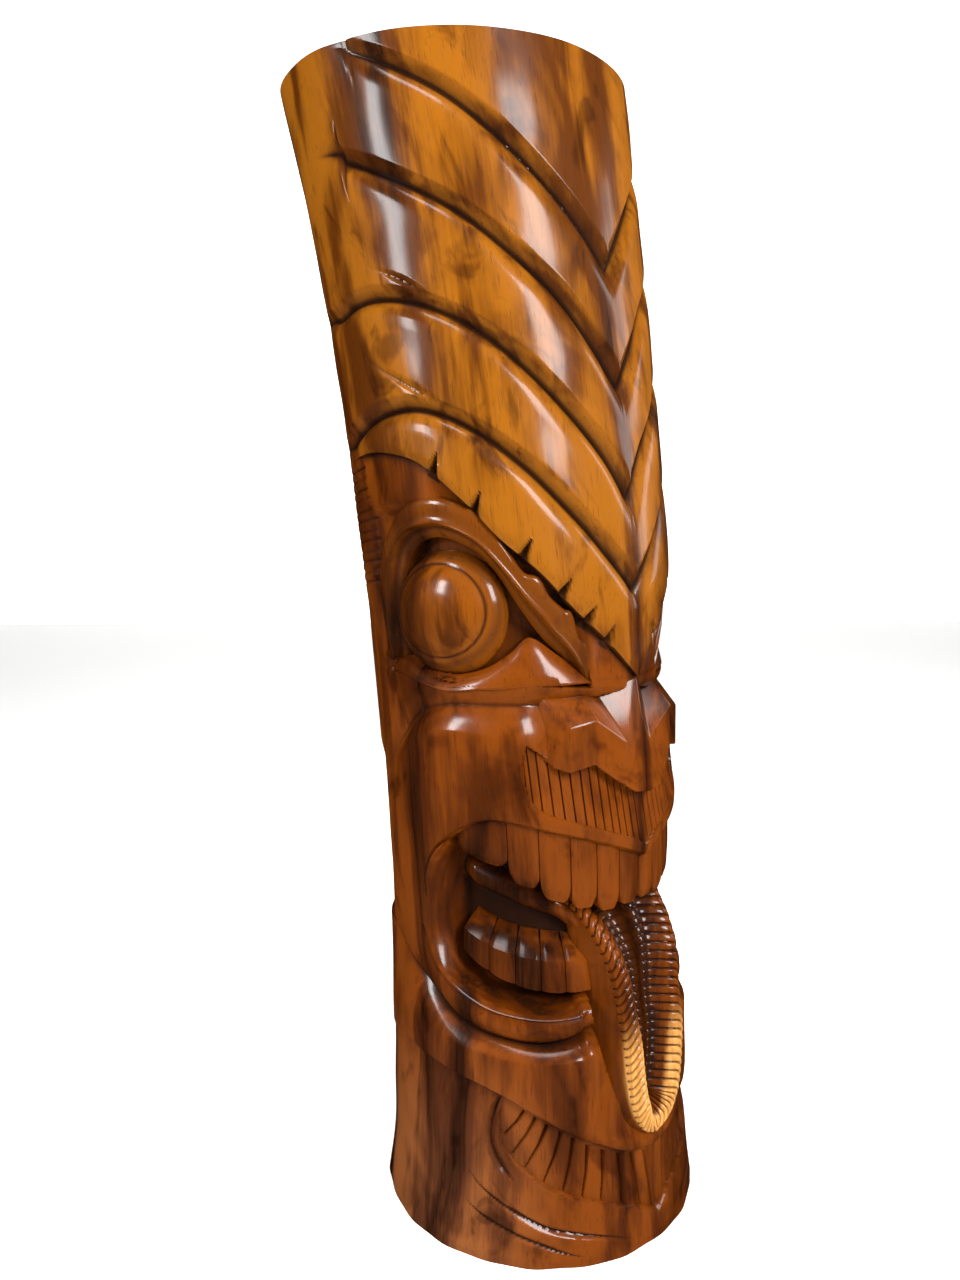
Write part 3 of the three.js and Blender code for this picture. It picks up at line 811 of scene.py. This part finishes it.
def upper_teeth():
    parts = []
    for side in (1, -1):
        for left, right, bottom in UPPER_TEETH:
            tilt = 0.0 if left < 60 else 0.22
            middle = (left + right) / 2
            low = lambda a, b=bottom, m=middle, k=tilt: b + k * (np.abs(a) - m)
            high = lambda a: along(TEETH_TOP, np.abs(a)) + 1
            l, r = (left, right) if side > 0 else (-right, -left)
            deep = 8.5 + 2.0 * (left > 150)
            parts.append(tooth(l, r, low, high, deep, -2.0))
    piece = join("row_of_upper_teeth", parts)
    finish_normals(piece, 38)
    return piece


def lower_teeth(side):
    parts = []
    low = lambda a: along(LOWER_GUM, np.abs(a))
    high = lambda a: low(a) + 45.0 - 0.0016 * (np.abs(a) - 105) ** 2
    for left, right in LOWER_TEETH:
        l, r = (left, right) if side == "left" else (-right, -left)
        parts.append(tooth(l, r, low, high, 16.0, 3.0, 20.0))
    piece = join(f"{side}_lower_teeth", parts)
    finish_normals(piece, 38)
    return piece


def skirt(z):
    """How far the tongue's smooth side slopes out beyond its rim."""
    return np.interp(z, [96, 120, 160, 205, 260, 300, 322], [4, 8, 14, 21, 22, 12, 2])


def tongue_level(z):
    return np.interp(z, [90, 110, 130, 240, 262, 282, 300, 316, 350], [-2, -7, -9, -9, -5, 4, 16, 25, 33])


def tongue():
    """The tongue: a rope-cut rim swept round its outline, with a channel between."""
    count = 900
    side = even_steps(TONGUE_SIDE, count)
    run = running(side)
    travel = np.linspace(-run[-1], run[-1], count)
    left = np.where(travel < 0, -1, 1)
    pa = left * np.interp(run[-1] - np.abs(travel), run, side[:, 0])
    pz = np.interp(run[-1] - np.abs(travel), run, side[:, 1])
    qz = np.maximum(pz + 2, 134.0)
    reach = np.hypot(pa, qz - pz)
    steps = np.array([-1.0, -0.8, -0.55, -0.3, -0.12, -0.04])
    e = np.array([0, 0.35, 0.9, 1.7, 2.8, 4, 5.3, 6.6, 8, 9.4, 10.8, 12, 13.2, 14.4, 15.6, 17, 18.5, 20, 22,
                  24.5, 27.5, 31, 35])
    slope = steps[:, None] * skirt(pz)[None, :]
    e_mm = np.vstack([slope, np.broadcast_to(e[:, None], (len(e), count))])
    across = e_mm / reach
    across[-1] = 1.0
    across = np.minimum(across, 1.0)
    a = pa * (1 - across)
    z = pz * (1 - across) + qz * across
    z = np.where(e_mm < 0, np.maximum(z, 92.0), z)
    crest = np.broadcast_to(tongue_level(pz), a.shape)
    rim = 3.6 * ((e_mm - 8.5) / 8.5) ** 2 * (e_mm < 8.5) * (e_mm >= 0)
    rim = rim + 1.6 * held((e_mm - 10) / 6.0) ** 2
    edge = 3.0 * held(1 - np.abs(e_mm) / 1.2) * (e_mm >= 0)
    foot_depth = np.interp(pz, [96, 120, 160, 205, 260, 300, 330], [14, 16, 22, 36, 34, 26, 16])
    fall = np.zeros(a.shape)
    fall[:len(steps)] = 6.0 + (foot_depth[None, :] - 6.0) * np.abs(steps)[:, None] ** 0.8
    wall = 19.0 * ease((e_mm - 13.5) / 17.0)
    slant = np.interp(e_mm, [-1, 2, 8, 13, 18, 35], [0, 3, 10, 13, 13.5, 12])
    phase = (np.abs(travel)[None, :] - slant) / RIB_PITCH
    nearest = np.abs(phase - np.round(phase)) * RIB_PITCH
    shallow = np.interp(e_mm, [-0.5, 0, 3, 14, 28, 33, 35], [0, 1.0, 1.0, 1.0, 0.85, 0.3, 0])
    knife = 2.4 * held(1 - nearest / 1.25)
    gouge = 1.3 * (1 - np.sin(np.pi * nearest / RIB_PITCH))
    cut = shallow * (knife + gouge)
    # painted shade in the rib cuts and down the wall into the channel; the slope below the rim is darker as
    # well
    mark = 0.95 * shallow * held(1 - nearest / 1.5) + 0.5 * ease((e_mm - 15) / 12.0)
    mark = mark + 0.3 * (e_mm < -0.1)
    depth = crest + rim + edge + wall + cut + fall
    return shell("ribbed_tongue", a, z, depth, depth + 12.0, 55, held(mark))


# ---- the beard ----
def beard():
    count = 520
    top = two_sided_steps(BEARD_TOP, count)
    low = two_sided_steps(BEARD_EDGE, count)
    u = np.concatenate([np.linspace(0, 0.92, 50), [0.94, 0.96, 0.98, 0.99, 1.0]])[:, None]
    a = low[:, 0] * (1 - u) + top[:, 0] * u
    z = low[:, 1] * (1 - u) + top[:, 1] * u
    mag = np.abs(a)
    depth = np.full(a.shape, BEARD_DEPTH - 3.0) + 2.0 * u
    edge = np.minimum(u * 60.0, 12.0)
    depth = depth + 2.0 * held(1 - edge / 2.0)
    cuts = np.full(a.shape, 1e9)
    for (a0, z0), (a1, z1) in BEARD_CUTS:
        bowed = np.array([[a0, z0], [(a0 + a1) / 2 - 1.5, (z0 + z1) / 2], [a1, z1]], float)
        gap, part = near_line(bowed, mag, z)
        width = 1.9 * (0.45 + 0.9 * (1 - part))
        depth = depth + 3.4 * (0.5 + 0.5 * (1 - part)) * held(1 - gap / width)
        cuts = np.minimum(cuts, gap)
    depth = depth + 1.6 * held(1 - cuts / 6.5) ** 2
    return shell("beard_fan", a, z, depth, floor=24.0, crisp_from=40)


def two_sided_steps(points, count):
    half = even_steps(points, count // 2 + 1)
    return np.vstack([half[:0:-1] * (-1, 1), half])


# ---- wood ----
GOLD, DEEP_GOLD = (0.166, 0.0530, 0.0026), (0.052, 0.0128, 0.0008)
RED, DEEP_RED = (0.106, 0.0232, 0.0009), (0.039, 0.0078, 0.0004)
LID, DEEP_LID = (0.088, 0.0215, 0.0010), (0.033, 0.0072, 0.0005)
AMBER, DEEP_AMBER = (0.122, 0.0310, 0.0012), (0.042, 0.0092, 0.0005)
DARK = (0.009, 0.0023, 0.0006)


class Wire:
    """A socket of a material, which takes part in sums."""

    def __init__(self, tree, socket):
        self.tree = tree
        self.socket = socket

    def node(self, kind, settings=None, out=0, **inputs):
        made = self.tree.nodes.new(kind)
        for key, value in (settings or {}).items():
            setattr(made, key, value)
        for key, value in inputs.items():
            numbered = key[0] == "i" and key[1:].isdigit()
            target = made.inputs[int(key[1:]) if numbered else key.replace("_", " ")]
            if isinstance(value, Wire):
                self.tree.links.new(value.socket, target)
            else:
                target.default_value = value
        return Wire(self.tree, made.outputs[out])

    def sum(self, operation, other=0.0):
        return self.node("ShaderNodeMath", {"operation": operation}, i0=self, i1=other)

    def __add__(self, other):
        return self.sum("ADD", other)

    __radd__ = __add__

    def __mul__(self, other):
        return self.sum("MULTIPLY", other)

    __rmul__ = __mul__

    def __sub__(self, other):
        return self.sum("SUBTRACT", other)

    def __rsub__(self, other):
        return self.node("ShaderNodeMath", {"operation": "SUBTRACT"}, i0=other, i1=self)

    def power(self, other):
        return self.sum("POWER", other)

    def between(self, low, high, to_low=0.0, to_high=1.0):
        return self.node("ShaderNodeMapRange", {"interpolation_type": "SMOOTHSTEP"}, Value=self, From_Min=low,
                         From_Max=high, To_Min=to_low, To_Max=to_high)

    def blend(self, first, second):
        """Mixes two colours by this value."""
        return self.node("ShaderNodeMix", {"data_type": "RGBA"}, out=2, i0=self, i6=first, i7=second)

    def tint(self, where, *by):
        """Multiplies this colour by a second one, as far as a mask says."""
        mix = {"data_type": "RGBA", "blend_type": "MULTIPLY"}
        tinted = self.node("ShaderNodeMix", mix, out=2, i0=1.0, i6=self, i7=colour(*by))
        return where.blend(self, tinted)


def colour(r, g, b):
    return (r, g, b, 1.0)


def carved_wood(name, pale_grain, deep_grain, reddening, gloss, golden=False):
    """Varnished wood: growth rings, streaks and fibres that follow the lean of the log."""
    material = bpy.data.materials.new(name)
    material.use_nodes = True
    tree = material.node_tree
    tree.nodes.clear()
    start = Wire(tree, None)
    place = start.node("ShaderNodeTexCoord", out=3)
    parts = tree.nodes.new("ShaderNodeSeparateXYZ")
    tree.links.new(place.socket, parts.inputs[0])
    x, y, z = (Wire(tree, parts.outputs[i]) for i in range(3))
    straight = y - (LEAN / MM) * (z * (MM / HEIGHT)).sum("MAXIMUM", 0.0).power(LEAN_CURVE)

    def field(across, up, detail, rough, warp=0.0, shift=0.0):
        vector = start.node("ShaderNodeCombineXYZ", X=x * across + shift, Y=straight * across,
                            Z=z * up + shift)
        return start.node("ShaderNodeTexNoise", out=0, Vector=vector, Scale=1.0, Detail=detail,
                          Roughness=rough, Distortion=warp)

    wander = field(7.0, 2.2, 3.0, 0.5, 0.3, 3.1)
    radius = (x * x + straight * straight).sum("SQRT")
    rings = ((radius * 130.0 + wander * 9.0) * 6.283).sum("SINE")
    streak = field(13.0, 1.5, 4.0, 0.55, 1.1, 7.7)
    knots = field(8.0, 5.0, 3.0, 0.5, 1.8, 1.3)
    fibre = field(330.0, 9.0, 3.0, 0.6, 0.0, 2.0)
    pores = field(900.0, 45.0, 1.0, 0.5, 0.0, 5.0)
    clouds = field(15.0, 9.0, 3.0, 0.55, 2.2, 4.4)
    cut_shade_and_varnish = start.node("ShaderNodeAttribute", {"attribute_name": "cut_shade_and_varnish"}, out=2)
    sap = start.node("ShaderNodeAttribute", {"attribute_name": "sapwood"}, out=2)

    tone = streak.between(0.40, 0.57) * 0.72 + knots.between(0.42, 0.62) * 0.36 + rings * 0.10
    tone = (tone + fibre * 0.5 - 0.25).between(0.0, 0.95)
    base = tone.blend(colour(*pale_grain), colour(*deep_grain))
    if golden:
        behind = straight.between(0.0, 0.08) * z.between(0.95, 0.72)
        base = behind.blend(base, tone.blend(colour(*RED), colour(*DEEP_RED)))
    else:
        # paler and greyer low down on the sides and the back
        paler_low_sides = straight.between(-0.12, -0.05) * z.between(0.22, 0.05) * 0.85
        base = base.tint(paler_low_sides, 1.5, 2.2, 14.0)
    veins = streak.between(0.54, 0.66) * fibre.between(0.25, 0.7, 0.6, 1.0)
    base = veins.blend(base, colour(*DARK))
    base = base.tint(clouds.between(0.56, 0.70) * 0.7, 0.30, 0.24, 0.2)
    base = base.tint(z.between(0.62, 0.42) * reddening, 0.72, 0.5, 0.34)
    base = base.tint(pores.between(0.62, 0.74) * 0.55, 0.42, 0.3, 0.22)
    cream = fibre.between(0.3, 0.7).blend(colour(0.50, 0.25, 0.065), colour(0.36, 0.155, 0.035))
    base = (sap.between(0.0, 1.0) * 0.85).blend(base, cream)
    # painted shade in cuts and hollows, with the dark varnish gathered there, darkens the wood
    base = (cut_shade_and_varnish.between(0.0, 1.0) * 0.93).blend(base, colour(0.008, 0.0025, 0.001))

    height = fibre * 0.35 + pores.between(0.75, 0.6) * 0.4 + field(60.0, 14.0, 2.0, 0.5, 0.0, 9.0) * 1.3
    bump = start.node("ShaderNodeBump", out=0, Strength=0.34, Distance=0.0012, Height=height)
    surface = start.node("ShaderNodeBsdfPrincipled", out=0, Base_Color=base, IOR=1.5,
                         Roughness=0.34 + fibre * 0.12 + cut_shade_and_varnish * 0.25, Specular_IOR_Level=0.03,
                         Coat_Weight=gloss, Coat_Roughness=0.16, Coat_IOR=1.5, Normal=bump)
    output = tree.nodes.new("ShaderNodeOutputMaterial")
    tree.links.new(surface.socket, output.inputs[0])
    return material


def mark_cut_shade_and_varnish(piece, rounds=14, strength=0.55):
    """Marks how far each vertex lies down in a cut: painted shade there, and the dark varnish that gathers
    there.
    """
    mesh = piece.data
    count = len(mesh.vertices)
    co = readings(mesh, "co") * MM
    normal = readings(mesh, "normal")
    edges = np.empty(len(mesh.edges) * 2, int)
    mesh.edges.foreach_get("vertices", edges)
    p, q = edges.reshape(-1, 2).T
    keep = np.linalg.norm(co[p] - co[q], axis=1) < 9.0
    p, q = p[keep], q[keep]
    links = np.bincount(p, minlength=count) + np.bincount(q, minlength=count)
    links = np.maximum(links, 1)
    soft = co.copy()
    mark = np.zeros(count)
    for turn in range(rounds):
        total = np.zeros_like(soft)
        for axis in range(3):
            total[:, axis] = np.bincount(p, soft[q, axis], count) + np.bincount(q, soft[p, axis], count)
        soft = 0.5 * soft + 0.5 * total / links[:, None]
        if turn in (2, rounds - 1):
            mark = np.maximum(mark, np.einsum("ij,ij->i", soft - co, normal))
    mark = held(mark * strength - 0.08)
    if "marked_shade_and_varnish" in mesh.attributes:
        marked_shade_and_varnish = np.empty(count, np.float32)
        mesh.attributes["marked_shade_and_varnish"].data.foreach_get("value", marked_shade_and_varnish)
        mark = np.maximum(mark, marked_shade_and_varnish)
    write_marks(mesh, "cut_shade_and_varnish", mark)


def sapwood(piece, pale):
    """Marks where the carving is near enough to the bark to show pale sapwood."""
    mesh = piece.data
    x, y, z = (readings(mesh, "co") * MM).T
    s = np.arctan2(x, -(y - lean(z))) * TRUNK_RADIUS
    radius = np.hypot(x, y - lean(z))
    write_marks(mesh, "sapwood", pale(s, z, radius))


def settle(piece, material, slot, *nodes, pale=None):
    piece.data.materials.clear()
    piece.data.materials.append(material)
    mark_cut_shade_and_varnish(piece)
    if pale:
        sapwood(piece, pale)
    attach(piece, "root")
    if nodes:
        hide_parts(*nodes)


def carve_log(gold, red):
    """The log from the foot up, in bands that meet along lines the carver cut."""
    ground, top = [(0, 0), (446, 0)], [(0, HEIGHT), (446, HEIGHT)]
    browed = lambda s, z: brow_relief(s, z) + headdress(s, z)
    far_edge = lambda s, z, r: (0.6 * ease((np.abs(s) - 298 - 5 * np.sin(z / 31.0)) / 10.0)
                                * (1 - ease((np.abs(s) - 316) / 12.0)) * ease((z - 270) / 60.0)
                                * (1 - ease((z - 400) / 80.0)))
    near, soft_lip = (0, 0.8, 2, 4), (0, 0.6, 1.5, 3)
    foot = band("foot", ground, CHIN_EDGE, foot_relief, (0, 1, 3), (0, 0.6, 2), 1.5)
    chin = band("chin_band", CHIN_EDGE, LIP_FOOT, chin_relief, (0, 0.7, 1.5, 3, 5), SOFT_END, 2.0)
    lip = band("lower_lip", LIP_FOOT, MOUTH_LOW, lip_relief, SOFT_END, soft_lip, 1.6)
    mouth = band("mouth_hollow", MOUTH_LOW, MOUTH_HIGH, mouth_relief, soft_lip, (0, 0.6, 1.5), 1.7)
    cheeks = band("cheeks_and_sockets", MOUTH_HIGH, BROW_EDGE, face_relief, LIP_START, SOFT_END, 2.05)
    brow = band("brow_band", BROW_EDGE, CHEVRON_LOW, browed, near, GROOVE_END, 1.6)
    chevroned = [
        band("lower_headdress", CHEVRON_LOW, CHEVRON_MID, headdress, GROOVE_START, GROOVE_END, 2.6),
        band("middle_headdress", CHEVRON_MID, CHEVRON_HIGH, headdress, GROOVE_START, GROOVE_END, 2.6),
        band("crown", CHEVRON_HIGH, top, headdress, GROOVE_START, near, 1.6),
    ]
    settle(foot, red, "varnished_log", "log_body")
    settle(chin, red, "red_brown_wood", "chin")
    settle(lip, red, "varnished_log")
    settle(mouth, red, "varnished_log")
    settle(cheeks, red, "varnished_log", pale=far_edge)
    settle(brow, gold, "golden_wood", "brow")
    for piece in chevroned:
        settle(piece, gold, "varnished_log")


def build_figure():
    gold = carved_wood("golden_wood", GOLD, DEEP_GOLD, 0.6, 0.17, golden=True)
    lids = carved_wood("dark_lid_wood", LID, DEEP_LID, 0.1, 0.3)
    amber = carved_wood("eye_wood", AMBER, DEEP_AMBER, 0.0, 0.26)
    red = carved_wood("red_brown_wood", RED, DEEP_RED, 0.1, 0.24)
    carve_log(gold, red)
    for side in ("right", "left"):
        settle(upper_lid(side), lids, "red_brown_wood", f"upper_eyelid_{side}")
        settle(lower_lid(side), red, "red_brown_wood", f"lower_eyelid_{side}")
        settle(eyeball(side), amber, "golden_wood", f"eyeball_{side}")
        settle(lower_teeth(side), red, "varnished_log", f"lower_teeth_{side}")
    settle(nose(), red, "varnished_log", "nose")
    settle(moustache(), red, "varnished_log", "moustache")
    settle(upper_teeth(), red, "varnished_log", "upper_teeth")
    settle(beard(), red, "varnished_log", "beard")
    crest = lambda s, z, r: ease((225 - z) / 60.0) * ease((r - 140.0) / 5.0)
    settle(tongue(), red, "golden_wood", "tongue", pale=crest)


# ---- floor, light and camera ----
def stage():
    """Floor, backdrop and sky, kept out of the varnish so that it shows the lamps alone."""
    bpy.ops.mesh.primitive_plane_add(size=14, location=(0, 0, 0))
    floor = bpy.context.object
    floor.name = "floor"
    material = bpy.data.materials.new("pale_floor")
    material.use_nodes = True
    shader = material.node_tree.nodes["Principled BSDF"]
    shader.inputs["Base Color"].default_value = colour(0.92, 0.92, 0.91)
    shader.inputs["Roughness"].default_value = 0.9
    floor.data.materials.append(material)
    floor.visible_glossy = False
    facing = (math.radians(90), 0, math.radians(-45))
    bpy.ops.mesh.primitive_plane_add(size=12, location=(3.3, 3.3, 3.0), rotation=facing)
    board = bpy.context.object
    board.name = "backdrop"
    white = bpy.data.materials.new("white_board")
    white.use_nodes = True
    glow = white.node_tree.nodes["Principled BSDF"]
    glow.inputs["Base Color"].default_value = colour(0.9, 0.9, 0.9)
    glow.inputs["Emission Color"].default_value = colour(1.0, 1.0, 1.0)
    glow.inputs["Emission Strength"].default_value = 0.95
    board.data.materials.append(white)
    board.visible_glossy = False
    world = bpy.data.worlds.new("studio")
    bpy.context.scene.world = world
    world.use_nodes = True
    sky = world.node_tree.nodes["Background"]
    sky.inputs["Color"].default_value = colour(1.0, 1.0, 1.0)
    sky.inputs["Strength"].default_value = 0.24
    world.cycles_visibility.glossy = False
    bpy.context.scene.view_settings.view_transform = "Standard"


def lamp(name, place, target, size, power):
    data = bpy.data.lights.new(name, "AREA")
    data.shape = "RECTANGLE"
    data.size, data.size_y = size
    data.energy = power
    light = bpy.data.objects.new(name, data)
    bpy.context.collection.objects.link(light)
    light.location = place
    light.rotation_euler = (Vector(target) - Vector(place)).to_track_quat("-Z", "Y").to_euler()


def camera():
    azimuth, distance, height = math.radians(-47.5), 0.948, 0.656
    pitch, roll, swing = math.radians(7.642), math.radians(-0.309), math.radians(3.433)
    place = Vector((math.sin(azimuth) * distance, -math.cos(azimuth) * distance, height))
    ahead = Vector((-math.sin(azimuth), math.cos(azimuth), 0))
    look = Vector((ahead.x * math.cos(swing) - ahead.y * math.sin(swing),
                   ahead.x * math.sin(swing) + ahead.y * math.cos(swing), 0))
    right = look.cross(Vector((0, 0, 1)))
    forward = look * math.cos(pitch) + Vector((0, 0, -math.sin(pitch)))
    up = right.cross(forward)
    right, up = right * math.cos(roll) + up * math.sin(roll), up * math.cos(roll) - right * math.sin(roll)
    data = bpy.data.cameras.new("view")
    data.sensor_width = 36.0
    data.lens = 28.575  # millimetres, behind a 36 mm sensor
    data.clip_start = 0.01
    eye = bpy.data.objects.new("view", data)
    bpy.context.collection.objects.link(eye)
    turn = Matrix((right, up, -forward)).transposed().to_4x4()
    eye.matrix_world = Matrix.Translation(place) @ turn
    bpy.context.scene.camera = eye


bpy.ops.object.select_all(action="DESELECT")
camera()
stage()
lamp("window", (-1.9, 0.45, 1.5), (0, 0, 0.6), (0.35, 0.8), 60)
lamp("key", (-0.35, -2.3, 1.9), (0, 0, 0.55), (0.8, 1.2), 165)
lamp("far_side", (1.9, -1.2, 1.3), (0, 0, 0.5), (0.7, 1.2), 30)
lamp("overhead", (-0.4, -0.2, 2.9), (0, 0, 0.5), (0.8, 0.8), 55)
build_figure()
bpy.context.view_layer.update()
